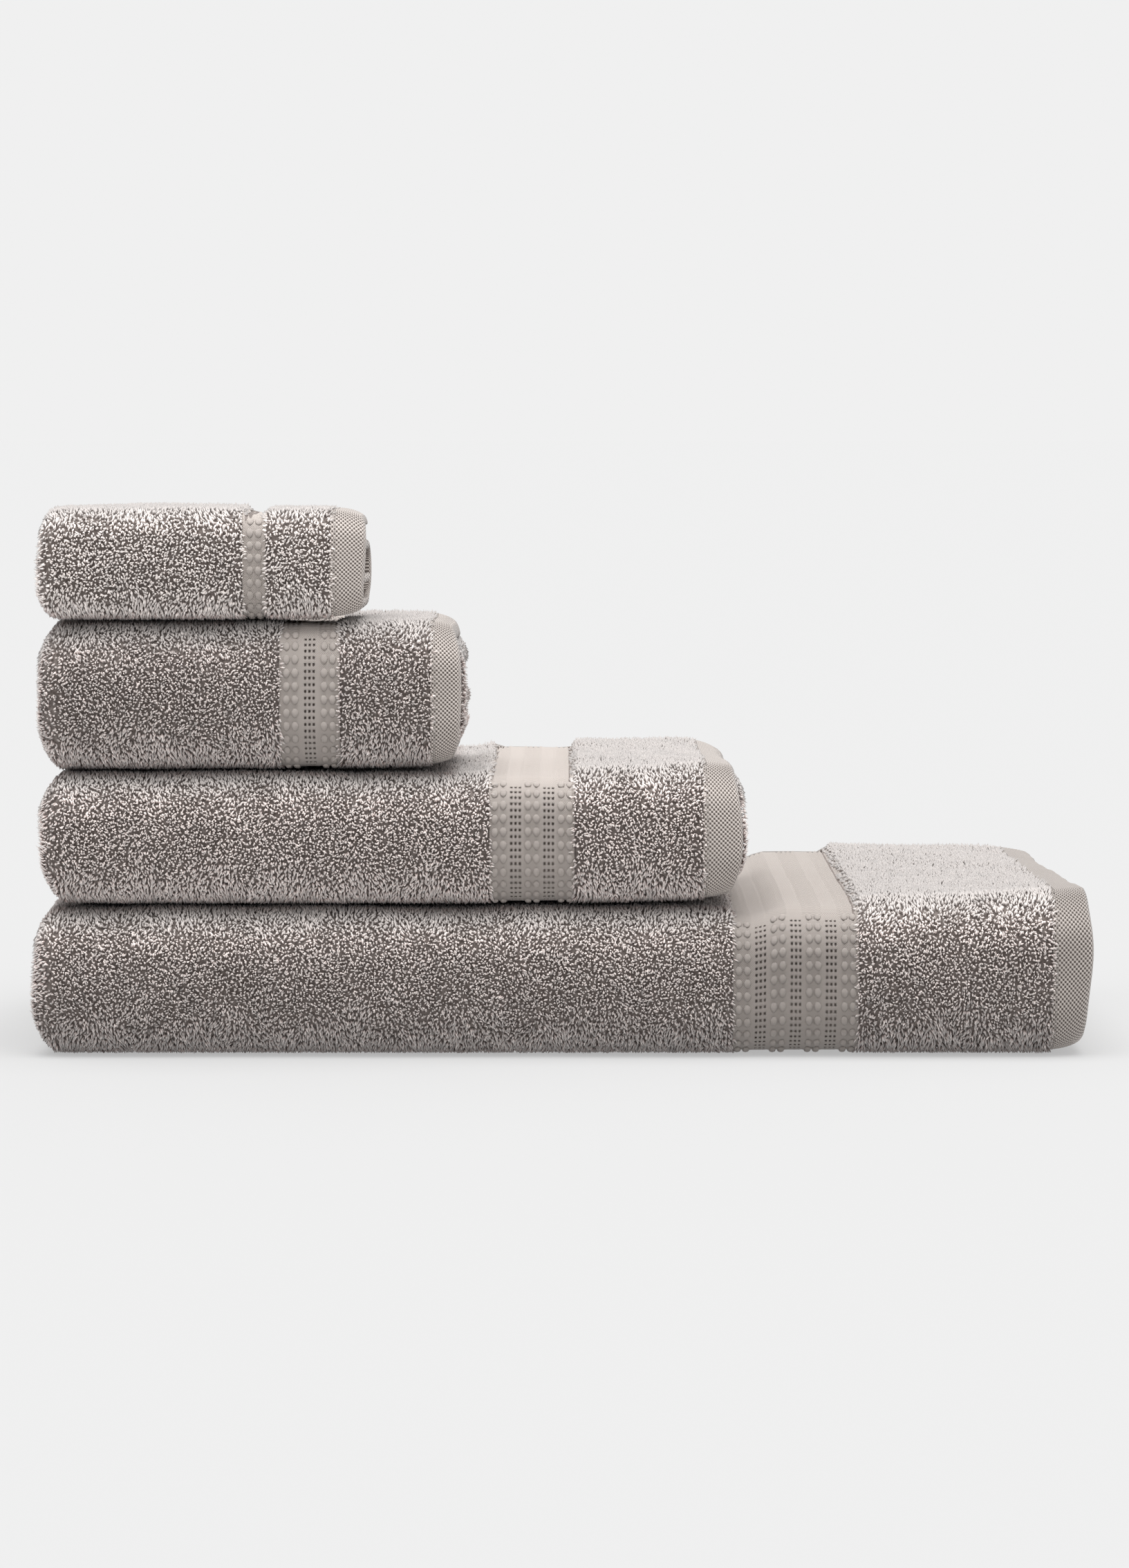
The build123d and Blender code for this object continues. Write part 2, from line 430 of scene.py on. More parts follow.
def loopMaterial():
    # the loop's own map holds its tone across, and along it the height, which the ramp turns into painted
    # shade that is darkest at the root
    look = clothLooks["loop"]
    material, tree, shader = newMaterial("terryLoops", 0.95, 0.25)
    place = addNode(tree, "ShaderNodeUVMap", uv_map="OFBake")
    parts = tree.nodes.new("ShaderNodeSeparateXYZ")
    ramp = colourRamp(tree, look["ends"], (look["dark"], look["mid"], look["pale"]))
    tone = tree.nodes.new("ShaderNodeMapRange")
    tone.inputs["To Min"].default_value = look["toneRange"][0]
    tone.inputs["To Max"].default_value = look["toneRange"][1]
    scale = addNode(tree, "ShaderNodeVectorMath", operation="SCALE")
    tree.links.new(place.outputs["UV"], parts.inputs[0])
    tree.links.new(parts.outputs["Y"], ramp.inputs["Fac"])
    tree.links.new(parts.outputs["X"], tone.inputs["Value"])
    tree.links.new(ramp.outputs["Color"], scale.inputs[0])
    tree.links.new(tone.outputs["Result"], scale.inputs["Scale"])
    tree.links.new(scale.outputs[0], shader.inputs["Base Color"])
    return material


def groundMaterial():
    # the base of the terry, which shows between the loops; its colour is darker than the loops', partly its
    # own and partly painted shade for the gaps between them and for the border's holes
    look = clothLooks["ground"]
    material, tree, shader = newMaterial("groundWeave", 0.95, 0.1)
    where = tree.nodes.new("ShaderNodeTexCoord")
    noise = tree.nodes.new("ShaderNodeTexNoise")
    noise.inputs["Scale"].default_value = look["noise"]
    noise.inputs["Detail"].default_value = 3
    ramp = colourRamp(tree, look["ends"], (look["dark"], look["pale"]))
    bump = tree.nodes.new("ShaderNodeBump")
    bump.inputs["Distance"].default_value = look["bump"] * mm
    tree.links.new(where.outputs["Object"], noise.inputs["Vector"])
    tree.links.new(noise.outputs["Fac"], ramp.inputs["Fac"])
    tree.links.new(noise.outputs["Fac"], bump.inputs["Height"])
    tree.links.new(ramp.outputs["Color"], shader.inputs["Base Color"])
    tree.links.new(bump.outputs["Normal"], shader.inputs["Normal"])
    return material


def weaveGroup():
    # flat weave over a map in metres: crossing yarns of a given pitch, as a colour mask and a height
    group = bpy.data.node_groups.new("flatWeave", "ShaderNodeTree")
    group.interface.new_socket("Pitch", in_out="INPUT", socket_type="NodeSocketFloat")
    group.interface.new_socket("Vector", in_out="INPUT", socket_type="NodeSocketVector")
    group.interface.new_socket("Mask", in_out="OUTPUT", socket_type="NodeSocketFloat")
    inside, outside = group.nodes.new("NodeGroupInput"), group.nodes.new("NodeGroupOutput")
    divide = addNode(group, "ShaderNodeMath", operation="DIVIDE")
    divide.inputs[0].default_value = 2 * math.pi
    scaled = addNode(group, "ShaderNodeVectorMath", operation="SCALE")
    parts = group.nodes.new("ShaderNodeSeparateXYZ")
    group.links.new(inside.outputs["Pitch"], divide.inputs[1])
    group.links.new(inside.outputs["Vector"], scaled.inputs[0])
    group.links.new(divide.outputs[0], scaled.inputs["Scale"])
    group.links.new(scaled.outputs[0], parts.inputs[0])
    waves = []
    for axis in ("X", "Y"):
        wave = addNode(group, "ShaderNodeMath", operation="COSINE")
        group.links.new(parts.outputs[axis], wave.inputs[0])
        waves.append(wave)
    product = addNode(group, "ShaderNodeMath", operation="MULTIPLY_ADD")
    product.inputs[2].default_value = 0.5
    half = addNode(group, "ShaderNodeMath", operation="MULTIPLY")
    half.inputs[1].default_value = 0.5
    group.links.new(waves[0].outputs[0], half.inputs[0])
    group.links.new(half.outputs[0], product.inputs[0])
    group.links.new(waves[1].outputs[0], product.inputs[1])
    group.links.new(product.outputs[0], outside.inputs["Mask"])
    return group


def flatMaterial(name, look, pitch, shade):
    # a flat weave, read from the piece's own map, and painted light: paler or darker where it faces up
    material, tree, shader = newMaterial(name, 0.85, 0.25)
    place = addNode(tree, "ShaderNodeUVMap", uv_map="cloth")
    weave = tree.nodes.new("ShaderNodeGroup")
    weave.node_tree = weaveNodes
    weave.inputs["Pitch"].default_value = pitch
    colours = [[shade * part for part in look[key]] for key in ("dark", "pale")]
    ramp = colourRamp(tree, look["ends"], colours)
    bump = tree.nodes.new("ShaderNodeBump")
    bump.inputs["Distance"].default_value = flatBump * mm
    lie = addNode(tree, "ShaderNodeUVMap", uv_map="facing")
    parts = tree.nodes.new("ShaderNodeSeparateXYZ")
    # painted light: the colour is scaled by top where the weave faces up
    upper = tree.nodes.new("ShaderNodeMapRange")
    upper.inputs["To Min"].default_value = 1.0
    upper.inputs["To Max"].default_value = look["top"]
    scale = addNode(tree, "ShaderNodeVectorMath", operation="SCALE")
    tree.links.new(place.outputs["UV"], weave.inputs["Vector"])
    tree.links.new(weave.outputs["Mask"], ramp.inputs["Fac"])
    tree.links.new(weave.outputs["Mask"], bump.inputs["Height"])
    tree.links.new(lie.outputs["UV"], parts.inputs[0])
    tree.links.new(parts.outputs["X"], upper.inputs["Value"])
    tree.links.new(ramp.outputs["Color"], scale.inputs[0])
    tree.links.new(upper.outputs["Result"], scale.inputs["Scale"])
    tree.links.new(scale.outputs[0], shader.inputs["Base Color"])
    tree.links.new(bump.outputs["Normal"], shader.inputs["Normal"])
    return material


weaveNodes = weaveGroup()
terryLoops = loopMaterial()
groundWeave = groundMaterial()
flatBump = 0.3
flatKinds = {  # each flat woven material's look, the pitch of its weave in mm, and its shade
    "hemWeave": ("hem", 1.6, 1.0),
    "borderWeave": ("border", 0.9, 1.0),
    "dotThread": ("border", 0.5, 1.26),
    "stitchThread": ("thread", 0.5, 1.0),
}


def flatMaterials(spec):
    made = {}
    for name, (look, pitch, shade) in flatKinds.items():
        # each towel's shade is painted light, making the weaves of the higher towels paler
        made[name] = flatMaterial(name, clothLooks[look], pitch * mm, shade * spec["shade"])
    return made


print("materials made")


clothStep = 11.0  # mm between points on the straight


def makeCloth(t):
    # the ground cloth, folded through all its layers
    us = cutsAlong(t["lengthPath"], 0, t["lengthPath"]["marks"][-1], clothStep * mm)
    ss = cutsAlong(t["rollPath"], 0, t["rollPath"]["marks"][-1], clothStep * mm)
    bm, i, j = gridMesh(len(us), len(ss))
    me = finishMesh(bm, t["name"] + "_cloth")
    foldMesh(t, me, np.column_stack([us[i], ss[j], 0 * us[i]]))
    piece = newPiece(t["name"] + "_cloth", me, groundWeave)
    giveWall(piece, t["thick"])
    return piece


loopLook = {
    "pitch": {"front": 1.30, "top": 1.7, "left": 1.7, "right": 2.0, "back": 2.1, "bottom": 6.0},
    "stand": {"front": 1.0, "top": 1.0, "left": 1.2, "right": 1.0, "back": 1.0, "bottom": 0.8},
    "long": (1.65, 0.32),  # a loop seen from above is a bean: mean and spread
    "wide": (1.22, 0.15),
    "tall": (2.8, 0.3),
    "least": 0.5,
    "scatter": 0.42,  # how far a loop stands off its row, as a share of the pitch
    "stagger": 0.25,  # how far every second row is shifted
    "swirl": 0.42,  # how far neighbouring loops lean the same way
    "swirlReach": 34.0,
    "jitter": 0.30,  # how far each leans by itself
    "combed": (0.85, 0.5, 2.2),  # the lower front leans down: how far, from where, how soon
    "lifted": (0.5, 4.0),  # the upper front leans up: how far, how soon it fades
    "backLean": 0.6,
    "turn": (1.6, 1.5, 0.2),  # how freely a loop turns: upright, less as it leans, at least
    "paintedTopShade": {"tone": 0.195, "rise": 0.86, "share": 0.85},  # painted light on top: where the cloth faces up the loops are darker, with less of their root shade, against the strong light from above
    "toneSpread": 0.13,
    "fan": 0.7,  # how far the last rows lean out over a flat edge
    "fanReach": 4.0,
    "foldExtra": 4.0,  # how far the right fold's loops run on past it
    "most": 30000,  # loops in one piece
    "paintedCreaseShade": 0.62,  # painted shade: how much of their height stays dark where two bundles meet
    "creaseReach": 0.10,
    "creaseAt": 0.04,  # share of the front that hides in the crease
    "creaseEdge": 8.0,
}


def roundShape(segments, rings):
    bm = bmesh.new()
    bmesh.ops.create_uvsphere(bm, u_segments=segments, v_segments=rings, radius=0.5)
    return finishMesh(bm, "round")


loopShape = roundShape(3, 2)


def manyCopies(shape, count, name):
    # the shape repeated count times in one mesh, by doubling
    bm = bmesh.new()
    block = shape.copy()
    while count:
        if count % 2:
            bm.from_mesh(block)
        count //= 2
        double = bmesh.new()
        double.from_mesh(block)
        double.from_mesh(block)
        double.to_mesh(block)
        double.free()
    bpy.data.meshes.remove(block)
    return finishMesh(bm, name)


def mapCorners(me, name, values):
    # keeps a pair of values for each vertex as a map over the mesh
    corner = np.empty(len(me.loops), np.int32)
    me.loops.foreach_get("vertex_index", corner)
    layer = me.uv_layers.new(name=name)
    layer.uv.foreach_set("vector", values[corner].astype(np.float32).ravel())


def sowLoops(rng, uRange, sRange, pitch):
    # evenly spread spots, each a little off its row
    scatter, stagger = loopLook["scatter"], loopLook["stagger"]
    across, along = uRange[1] - uRange[0], sRange[1] - sRange[0]
    rows, columns = max(1, round(across / pitch)), max(1, round(along / pitch))
    i, j = (x.ravel() for x in np.meshgrid(np.arange(rows), np.arange(columns), indexing="ij"))
    i = i + 0.5 + scatter * rng.uniform(-1, 1, len(i)) + stagger * (j % 2)
    j = j + 0.5 + scatter * rng.uniform(-1, 1, len(i))
    return uRange[0] + i * across / rows, sRange[0] + j * along / columns


def leanField(t, u, s, zone, rng):
    # which way the loops lean, and how far: sideways per unit of height
    look = loopLook
    roll = t["rollPath"]["marks"]
    reach = look["swirlReach"] * mm
    leanU = look["swirl"] * smoothWave(u, s, t["seed"] + 5, reach)
    leanS = look["swirl"] * smoothWave(u, s, t["seed"] + 6, reach)
    front = np.clip((s - roll[1]) / (roll[2] - roll[1]), 0, 1)
    back = np.clip((s - roll[3]) / (roll[4] - roll[3]), 0, 1)
    combed, start, pace = look["combed"]
    leanS = leanS + combed * np.clip((front - start) * pace, 0, 1) * (front < 1)
    lifted, pace = look["lifted"]
    leanS = leanS - lifted * np.clip(1 - front * pace, 0, 1)
    leanS = leanS - look["backLean"] * (back > 0) * (back < 1)
    low, high, openLow, openHigh = zone
    leanU = leanU - look["fan"] * openLow * nearness(u - low, look["fanReach"])
    leanU = leanU + look["fan"] * openHigh * nearness(high - u, look["fanReach"])
    jitter = rng.normal(0, look["jitter"], (2, len(u)))
    return leanU + jitter[0], leanS + jitter[1]


def facingUp(t, s):
    # 1 where the roll's outer face lies on top, falling to 0 as it turns down the front or the back
    return np.clip(1.6 * onPath(t["rollPath"], s)[3] - 0.6, 0, 1)


def frontPlace(t, u, s):
    # how far down the front each spot lies, and how much painted shade it gets in the crease with the bundle
    # above or below
    roll, look = t["rollPath"]["marks"], loopLook
    front = np.clip((s - roll[1]) / (roll[2] - roll[1]), 0, 1)
    past = onPath(t["lengthPath"], u)[0] - t["coverRight"]
    above = np.clip(-past / (look["creaseEdge"] * mm), 0, 1)
    upper = above * np.clip(1 - np.abs(front - look["creaseAt"]) / look["creaseReach"], 0, 1)
    lower = np.clip(1 - np.abs(front - 1 + look["creaseAt"]) / look["creaseReach"], 0, 1)
    return front, look["paintedCreaseShade"] * np.maximum(upper, lower)


def standLoops(t, body, spots, zone, rng, stand):
    # the points of each loop on the flat cloth: sized, turned and leant over
    look = loopLook
    u, s = spots
    count = len(u)
    sizes = [rng.normal(*look[key], count) for key in ("long", "wide", "tall")]
    long, wide, tall = (np.maximum(size, look["least"]) * mm for size in sizes)
    leanU, leanS = leanField(t, u, s, zone, rng)
    free, less, least = look["turn"]
    spread = np.clip(free - less * np.hypot(leanU, leanS), least, free)
    turn = np.arctan2(leanS, leanU) + spread * rng.uniform(-1, 1, count)
    cos, sin = np.cos(turn)[:, None], np.sin(turn)[:, None]
    x = body[:, 0] * long[:, None]
    y = body[:, 1] * wide[:, None]
    z = (body[:, 2] + 0.5) * tall[:, None]
    flatU = u[:, None] + x * cos - y * sin + z * leanU[:, None]
    flatS = s[:, None] + x * sin + y * cos + z * leanS[:, None]
    return np.column_stack([flatU.ravel(), flatS.ravel(), (z * stand).ravel()])


def shadeLoops(t, body, spots, rng):
    # each loop's tone, and how pale it is at each point, from its dark root to its tip, which is painted
    # shade deep in the pile
    look, spec, paintedTopShade = loopLook, t["spec"], loopLook["paintedTopShade"]
    front, paintedCreaseShade = frontPlace(t, *spots)
    facing = facingUp(t, spots[1])
    tone = rng.normal(spec["tone"], look["toneSpread"], len(front))
    tone += spec["paintedFrontLight"] * (1 - 2 * front) * (front > 0) * (front < 1)  # painted light: the upper front is paler and the lower front darker
    # painted shade on top: where the cloth faces up, the loops' tone is pulled darker against the strong
    # light from above
    tone = np.clip(tone + facing * (paintedTopShade["tone"] - tone) * paintedTopShade["share"], 0.02, 0.98)
    # painted shade: each point of a loop is paler the higher it stands
    rise = (body[:, 2] + 0.5) * np.ones((len(front), 1))
    # there the painted root shade is also lessened
    rise = rise + facing[:, None] * paintedTopShade["rise"] * (1 - rise)
    rise = spec["softness"] + (1 - spec["softness"]) * rise
    # painted shade in the creases where bundles meet darkens the loops along their height
    rise = np.clip(rise * (1 - paintedCreaseShade[:, None]), 0.02, 0.98)
    return np.column_stack([np.repeat(tone, len(body)), rise.ravel()])


def makeLoops(t, name, spots, zone, rng, stand):
    # copies of the loop's shape, stood on the flat cloth and folded with it
    body = shapePoints(loopShape)
    order = np.argsort(spots[0])
    parts = math.ceil(len(order) / loopLook["most"])
    pieces = []
    for part, chosen in enumerate(np.array_split(order, parts)):
        some = (spots[0][chosen], spots[1][chosen])
        me = manyCopies(loopShape, len(chosen), name)
        foldMesh(t, me, standLoops(t, body, some, zone, rng, stand))
        mapCorners(me, "OFBake", shadeLoops(t, body, some, rng))
        label = name + ("_" + "abcdefgh"[part] if parts > 1 else "")
        pieces.append(newPiece(label, me, terryLoops))
    return pieces


def pileZones(t):
    # the stretches of cloth that show: label, kind, place and open edges along u, and place along s
    roll, strip = t["rollPath"]["marks"], t["lengthPath"]["marks"]
    sides = (
        ("front", "front", (roll[1], roll[2])),
        ("top", "top", (t["sideHem"], roll[1])),
        ("back", "back", (roll[3], roll[4])),
        ("under", "bottom", (roll[2], roll[3])),
    )
    everywhere = (0.0, roll[-1])
    zones = []
    for label, place, openHigh in (("main", t["main"], 0), ("end", t["endTerry"], 1)):
        for side, kind, along in sides:
            zones.append((label + "_" + side, kind, (*place, 1, openHigh), along))
    zones.append(("left_fold", "left", (*t["leftTurn"], 0, 0), everywhere))
    if t["spec"]["layers"] > 2:
        extra = loopLook["foldExtra"] * mm
        zones.append(("right_fold", "right", (strip[3] - extra, strip[4] + extra, 0, 0), everywhere))
    return zones


def makePile(t):
    rng = np.random.default_rng(t["seed"])
    pieces = []
    for label, kind, edges, along in pileZones(t):
        spots = sowLoops(rng, edges[:2], along, loopLook["pitch"][kind] * mm)
        name = t["name"] + "_" + label + "_loops"
        pieces += makeLoops(t, name, spots, edges, rng, loopLook["stand"][kind])
    return pieces


def clothMap(t, me, place, s):
    # keeps each point's place in the weave as a map in metres, and how far it faces up as another, which
    # places the painted light on top
    facing = facingUp(t, s)
    mapCorners(me, "cloth", place)
    mapCorners(me, "facing", np.column_stack([facing, facing]))


def foldFlat(t, me, flat):
    # maps a flat mesh's weave by its places (u, s, w), and folds it with the towel
    clothMap(t, me, flat[:, :2], flat[:, 1])
    foldMesh(t, me, flat)


def copiesOn(t, shape, size, u, s, rise, name):
    # copies of a shape, set at spots on the flat weave and folded with it
    me = manyCopies(shape, len(u), name)
    spots = np.column_stack([u, s, np.full(len(u), rise * mm)])
    flat = spots[:, None, :] + shapePoints(shape) * np.array(size) * mm
    foldFlat(t, me, flat.reshape(-1, 3))
    return me


borderLook = {
    "dotPitch": 4.2, "dotSize": (3.6, 5.0, 2.0), "dotRise": 0.3, "rowPitch": 6.6,
    "holesAcross": 3, "holePitch": 2.3, "holeSize": (1.15, 1.6), "ladderEdge": 0.4,
    "rise": 1.1, "wall": 0.9, "groove": 0.18,
    "ribPitch": 1.3, "rib": 0.12, "topRib": 0.5,
    "plainTop": 0.7,  # where the weave faces up more than this, it has neither holes nor dots
    "pastBack": 8.0,
    "hidden": (6.0, 14.0, 8.0),  # underneath, from past the front to short of the back, it has wide cuts
}


def borderSpans(t):
    # how many ladders of holes there are, their width, and the width of the dotted stretches
    ladders = t["spec"]["ladders"]
    ladderWide = (borderLook["holesAcross"] * borderLook["holePitch"] + borderLook["ladderEdge"]) * mm
    start, stop = t["border"]
    return ladders, ladderWide, (stop - start - ladders * ladderWide) / (ladders + 1)


def borderReach(t):
    return t["sideHem"], t["rollPath"]["marks"][4] + borderLook["pastBack"] * mm


def underneath(t, s):
    roll = t["rollPath"]["marks"]
    pastFront, shortOfBack, _ = borderLook["hidden"]
    return (s > roll[2] + pastFront * mm) & (s < roll[3] - shortOfBack * mm)


def borderColumns(t):
    # cuts across the border: the place, whether a hole ends there, and the rib's side
    look = borderLook
    ladders, ladderWide, dotsWide = borderSpans(t)
    hole = look["holeSize"][0] * mm
    post = (ladderWide - look["holesAcross"] * hole) / (look["holesAcross"] + 1)
    ribs = max(2, round(dotsWide / (look["ribPitch"] * mm)))
    columns = [(t["border"][0], False, 0.0)]
    for stretch in range(ladders + 1):
        start = columns[-1][0]
        columns += [(start + dotsWide * (k + 1) / ribs, False, mm * (-1) ** k) for k in range(ribs)]
        if stretch == ladders:
            break
        for _ in range(look["holesAcross"]):
            here = columns[-1][0] + post
            columns += [(here, False, 0.0), (here + hole, True, 0.0)]
        columns.append((columns[-1][0] + post, False, 0.0))
    return columns


def borderRows(t):
    # cuts along it: the place, whether a row of holes ends there, and the depth of the groove
    look = borderLook
    pitch = look["rowPitch"] / 2 * mm
    bar = pitch - look["holeSize"][1] * mm
    low, high = borderReach(t)
    rows = [(low, False, 0.0)]
    while rows[-1][0] < high:
        here = rows[-1][0]
        if underneath(t, here):
            rows.append((here + look["hidden"][2] * mm, False, 0.0))
            continue
        isOpen = facingUp(t, here) < look["plainTop"]
        rows += [(here + bar / 2, False, -look["groove"] * mm), (here + bar, False, 0.0)]
        rows.append((here + pitch, isOpen, 0.0))
    return rows


def makeBorder(t):
    # a flat weave with ribs and grooves, pierced by the ladders
    look = borderLook
    us, isHole, side = (np.array(values) for values in zip(*borderColumns(t)))
    ss, isOpen, groove = (np.array(values) for values in zip(*borderRows(t)))
    rib = look["rib"] + (look["topRib"] - look["rib"]) * facingUp(t, ss)
    bm, i, j = gridMesh(len(us), len(ss))
    height = look["rise"] * mm + side[i] * rib[j] + groove[j]
    for v, place in zip(bm.verts, np.column_stack([us[i], ss[j], height])):
        v.co = place
    cut = []
    for face in bm.faces:
        corners = [v.index for v in face.verts]
        if isHole[i[corners].max()] and isOpen[j[corners].max()]:
            cut.append(face)
    bmesh.ops.delete(bm, geom=cut, context="FACES")
    name = t["name"] + "_woven_border"
    me = finishMesh(bm, name)
    foldFlat(t, me, shapePoints(me))
    piece = newPiece(name, me, t["flats"]["borderWeave"])
    giveWall(piece, look["wall"] * mm)
    return piece


dotShape = roundShape(7, 4)


def makeDots(t):
    # woven oval dots in pairs, between the ladders
    look = borderLook
    ladders, ladderWide, dotsWide = borderSpans(t)
    low, high = borderReach(t)
    pitch = look["rowPitch"] * mm
    grid = np.meshgrid(np.arange(ladders + 1), np.arange(int((high - low) / pitch)), (-0.5, 0.5))
    stretch, row, side = (x.ravel() for x in grid)
    u = t["border"][0] + stretch * (dotsWide + ladderWide) + dotsWide / 2 + side * look["dotPitch"] * mm
    s = low + (row + 0.5) * pitch
    seen = ~underneath(t, s) & (facingUp(t, s) < look["plainTop"])
    name = t["name"] + "_border_dots"
    rise = look["rise"] + look["dotRise"]
    me = copiesOn(t, dotShape, look["dotSize"], u[seen], s[seen], rise, name)
    return newPiece(name, me, t["flats"]["dotThread"])


hemLook = {"cell": 1.08, "bump": 0.36, "rise": 1.0, "edge": 1.3, "under": 0.2, "tuck": 0.3, "hiddenStep": 8.0}


def roundEdge(reach, offset, rise, under):
    # half a turn round a hem's edge, from its upper face to its lower
    half = (rise - under) / 2
    angles = np.radians(np.linspace(90, -90, 9))
    return [(offset - reach * math.cos(a), rise - half + half * math.sin(a)) for a in angles]


def seenRows(t, step, hidden):
    # places across the cloth: close together on the roll's outside, wide apart where it is hidden
    marks = t["rollPath"]["marks"]
    rows, fine = [0.0], [0.0]
    for part, (low, high) in enumerate(zip([0.0] + marks[1:], marks[1:])):
        close = part in (0, 1, 3) and not hidden
        here = step if close else hemLook["hiddenStep"] * mm
        more = cutsAlong(t["rollPath"], low, high, here, not close)[1:]
        rows.extend(more)
        fine.extend([1.0 if close else 0.0] * len(more))
    return np.array(rows), np.array(fine)


def closeUp(me):
    # welds the section's seam, fills both ends and turns the faces outwards
    bm = bmesh.new()
    bm.from_mesh(me)
    bmesh.ops.remove_doubles(bm, verts=bm.verts, dist=0.01 * mm)
    bmesh.ops.holes_fill(bm, edges=[e for e in bm.edges if e.is_boundary], sides=0)
    bmesh.ops.recalc_face_normals(bm, faces=bm.faces)
    bm.to_mesh(me)
    bm.free()


def makeHeaderHem(t, inner=False):
    # a folded, flat woven hem: its section runs over the top, round the end and back underneath
    look = hemLook
    width = t["hem"][1]
    rise, under, tuck = look["rise"] * mm, -t["thick"] - look["under"] * mm, look["tuck"] * mm
    cells = max(4, round(width / (look["cell"] * mm)))
    section = [(width + tuck, -tuck, 0)]
    section += [(width * (1 - k / cells), rise, 1) for k in range(cells)]
    section += [(*place, 0) for place in roundEdge(look["edge"] * mm, 0, rise, under)]
    section += [(width, under, 0), section[0]]
    across, height, isWoven = np.array(section).T
    rows, fine = seenRows(t, look["cell"] * mm, inner and t["spec"]["layers"] > 2)
    bm, i, j = gridMesh(len(section), len(rows))
    checks = np.where((i + j) % 2 == 0, 1.0, -1.0) * isWoven[i] * fine[j]
    u = t["lengthPath"]["marks"][-1] - across[i] if inner else across[i]
    name = t["name"] + ("_inner_hem" if inner else "_hem")
    me = finishMesh(bm, name)
    half = flatKinds["hemWeave"][1] / 2 * mm  # one cell of the relief is half a repeat of the weave
    clothMap(t, me, np.column_stack([i * half, j * half]), rows[j])
    foldMesh(t, me, np.column_stack([u, rows[j], height[i] + checks * look["bump"] * mm]))
    closeUp(me)
    return newPiece(name, me, t["flats"]["hemWeave"])


sideHemLook = {"rise": 0.8, "under": 0.2, "edge": 1.6, "offset": 0.8, "bevel": 0.5, "step": 6.0}


def makeSideHem(t, atBack):
    # the hem round a long edge, through all the cloth's layers
    look = sideHemLook
    width = t["sideHem"]
    rise, under = look["rise"] * mm, -t["thick"] - look["under"] * mm
    section = [(width, 0.0), (width - look["bevel"] * mm, rise), (width / 2, rise)]
    section += roundEdge(look["edge"] * mm, look["offset"] * mm, rise, under)
    section += [(width / 2, under), (width, under), section[0]]
    across, height = np.array(section).T
    last = t["lengthPath"]["marks"][-1]
    us = cutsAlong(t["lengthPath"], t["hem"][1], last - t["hem"][1], look["step"] * mm)
    bm, i, j = gridMesh(len(section), len(us))
    s = across[i] if atBack else t["rollPath"]["marks"][-1] - across[i]
    name = t["name"] + ("_back_hem" if atBack else "_flap_hem")
    me = finishMesh(bm, name)
    foldFlat(t, me, np.column_stack([us[j], s, height[i]]))
    closeUp(me)
    return newPiece(name, me, t["flats"]["hemWeave"])


stitchLook = {"size": (0.9, 2.5, 0.8), "pitch": 3.2, "inset": 2.2, "rise": 1.15}
stitchShape = roundShape(5, 3)


def makeStitches(t):
    # a row of stitches along each header hem, near its inner edge
    look = stitchLook
    last = t["rollPath"]["marks"][-1]
    count = int(last / (look["pitch"] * mm))
    inset = t["hem"][1] - look["inset"] * mm
    u = np.repeat([inset, t["lengthPath"]["marks"][-1] - inset], count)
    s = np.tile((np.arange(count) + 0.5) * last / count, 2)
    name = t["name"] + "_hem_stitches"
    me = copiesOn(t, stitchShape, look["size"], u, s, look["rise"], name)
    return newPiece(name, me, t["flats"]["stitchThread"])


def makeTowel(name, spec):
    t = measureTowel(name, spec)
    t["flats"] = flatMaterials(spec)
    cloth = makeCloth(t)
    loops = makePile(t)
    border = makeBorder(t)
    hem = makeHeaderHem(t)
    innerHem = makeHeaderHem(t, True)
    backHem = makeSideHem(t, True)
    flapHem = makeSideHem(t, False)
    stitches = makeStitches(t)
    madeOf = {
        "terry": [cloth] + loops,
        "woven_border": [border, makeDots(t)],
        "woven_hem": [hem, innerHem, backHem, flapHem],
        "sewing_thread": [stitches],
    }
    for slot, pieces in madeOf.items():
        for piece in pieces:
            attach(piece, name)
    standsFor = (
        (cloth, ("main_terry", "end_terry", "inner_border", "inner_end_terry")),
        (stitches, ("header_thread", "inner_header_thread")),
        (innerHem, ("inner_header_hem",)),
        (border, ("border",)),
        (hem, ("header_hem",)),
        (backHem, ("back_side_hem",)),
        (flapHem, ("flap_side_hem",)),
    )
    for piece, nodes in standsFor:
        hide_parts(*(name + "_" + node for node in nodes))


for towelName, towelSpec in towelSet.items():
    makeTowel(towelName, towelSpec)


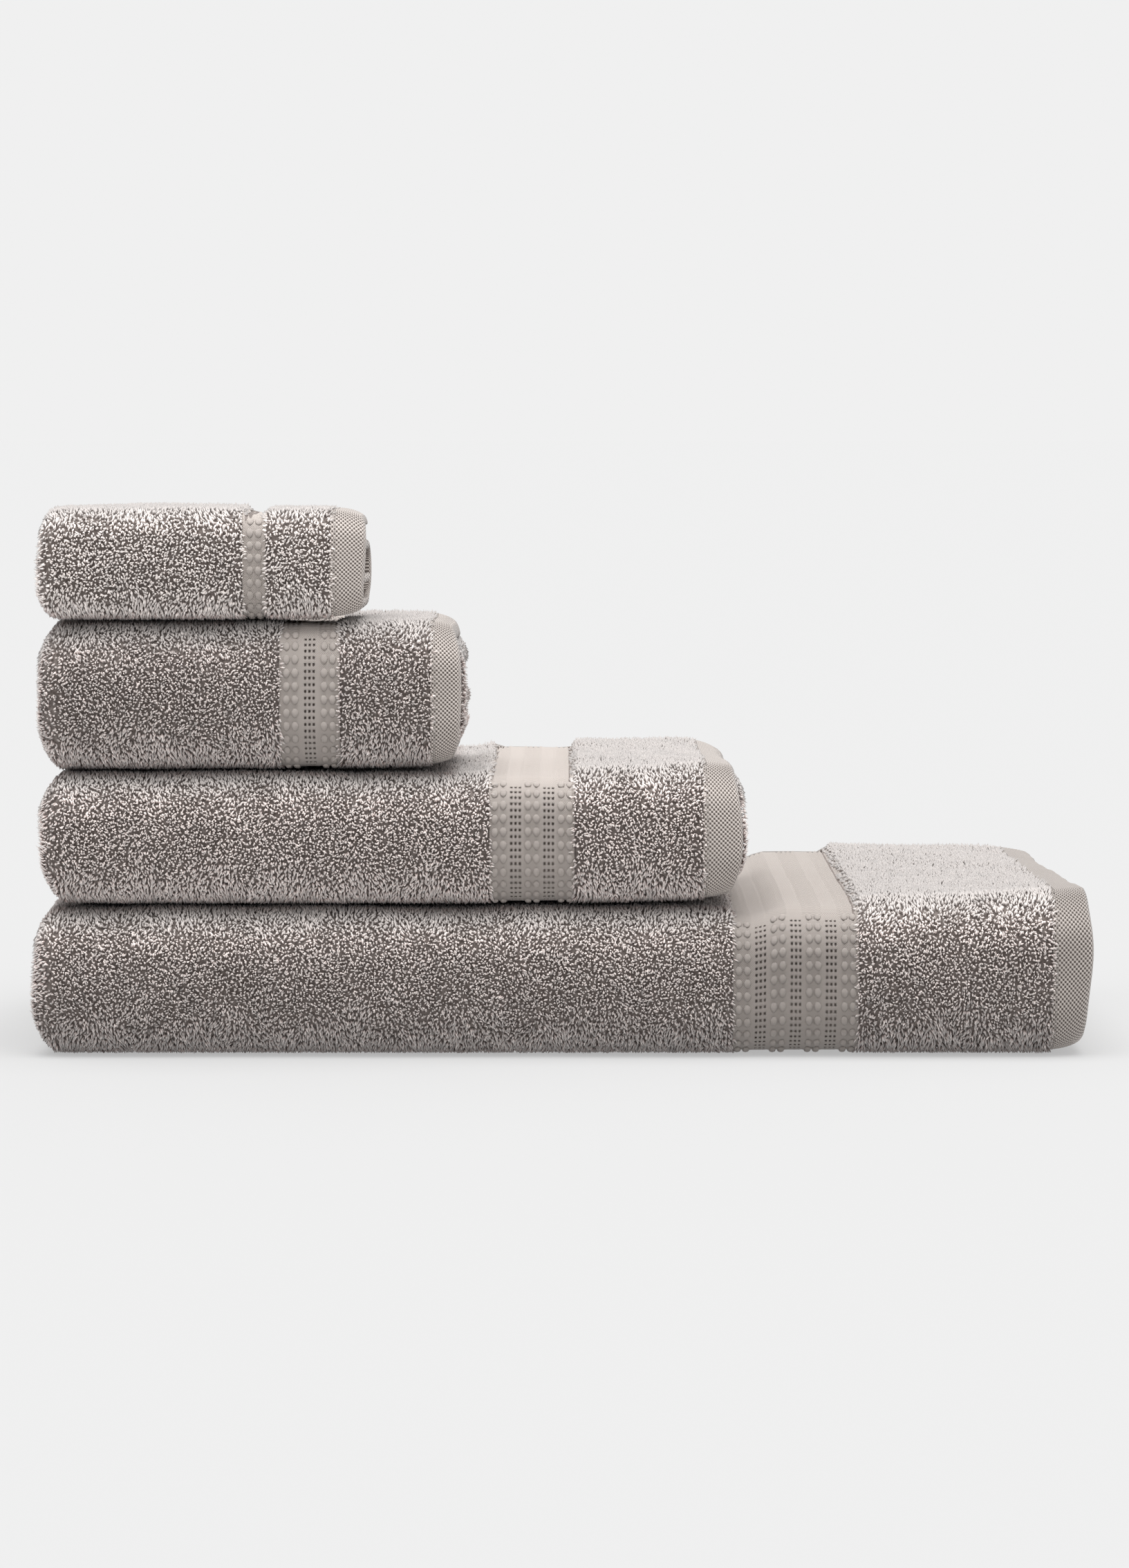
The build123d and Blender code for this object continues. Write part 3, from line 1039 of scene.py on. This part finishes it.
studio = {
    "surround": 0.871,  # the plain pale backdrop, all round
    "floorAlbedo": 0.235, "floorGlow": 0.412,
    "topLight": 3.4, "topAngle": 50.0, "topTilt": 9.0,
    "away": 2.5, "eye": 0.320, "lens": 116.0, "aim": 0.1375, "shift": 0.0017,
}


def makeFloor():
    bm = bmesh.new()
    bmesh.ops.create_grid(bm, x_segments=1, y_segments=1, size=60)
    me = finishMesh(bm, "floor", smooth=False)
    material, tree, shader = newMaterial("floorPaper", 0.9, 0.0)
    shader.inputs["Base Color"].default_value = (*[studio["floorAlbedo"]] * 3, 1)
    shader.inputs["Specular IOR Level"].default_value = 0.0
    shader.inputs["Emission Color"].default_value = (1, 1, 1, 1)
    shader.inputs["Emission Strength"].default_value = studio["floorGlow"]
    floor = newPiece("floor", me, material)
    return floor


def makeLights():
    world = bpy.data.worlds.new("studio")
    bpy.context.scene.world = world
    world.use_nodes = True
    light = world.node_tree.nodes["Background"]
    light.inputs["Color"].default_value = (*[studio["surround"]] * 3, 1)
    sun = bpy.data.lights.new("topLight", "SUN")
    sun.energy = studio["topLight"]
    sun.angle = math.radians(studio["topAngle"])
    lamp = bpy.data.objects.new("topLight", sun)
    lamp.rotation_euler = (math.radians(studio["topTilt"]), 0, 0)
    bpy.context.scene.collection.objects.link(lamp)


def makeCamera():
    sheetLow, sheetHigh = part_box("bath_sheet_main_terry")
    centre = (sheetLow.x + sheetHigh.x) / 2
    front = sheetLow.y
    data = bpy.data.cameras.new("camera")
    data.sensor_fit = "VERTICAL"
    data.sensor_height = 36
    data.lens = studio["lens"]
    data.clip_end = 200
    camera = bpy.data.objects.new("camera", data)
    camera.location = (centre + studio["shift"], front - studio["away"], studio["eye"])
    look = Vector((centre + studio["shift"], front, studio["aim"])) - camera.location
    camera.rotation_euler = look.to_track_quat("-Z", "Y").to_euler()
    bpy.context.scene.collection.objects.link(camera)
    bpy.context.scene.camera = camera


makeFloor()
makeLights()
makeCamera()
bpy.context.scene.view_settings.view_transform = "Standard"
print("studio made")
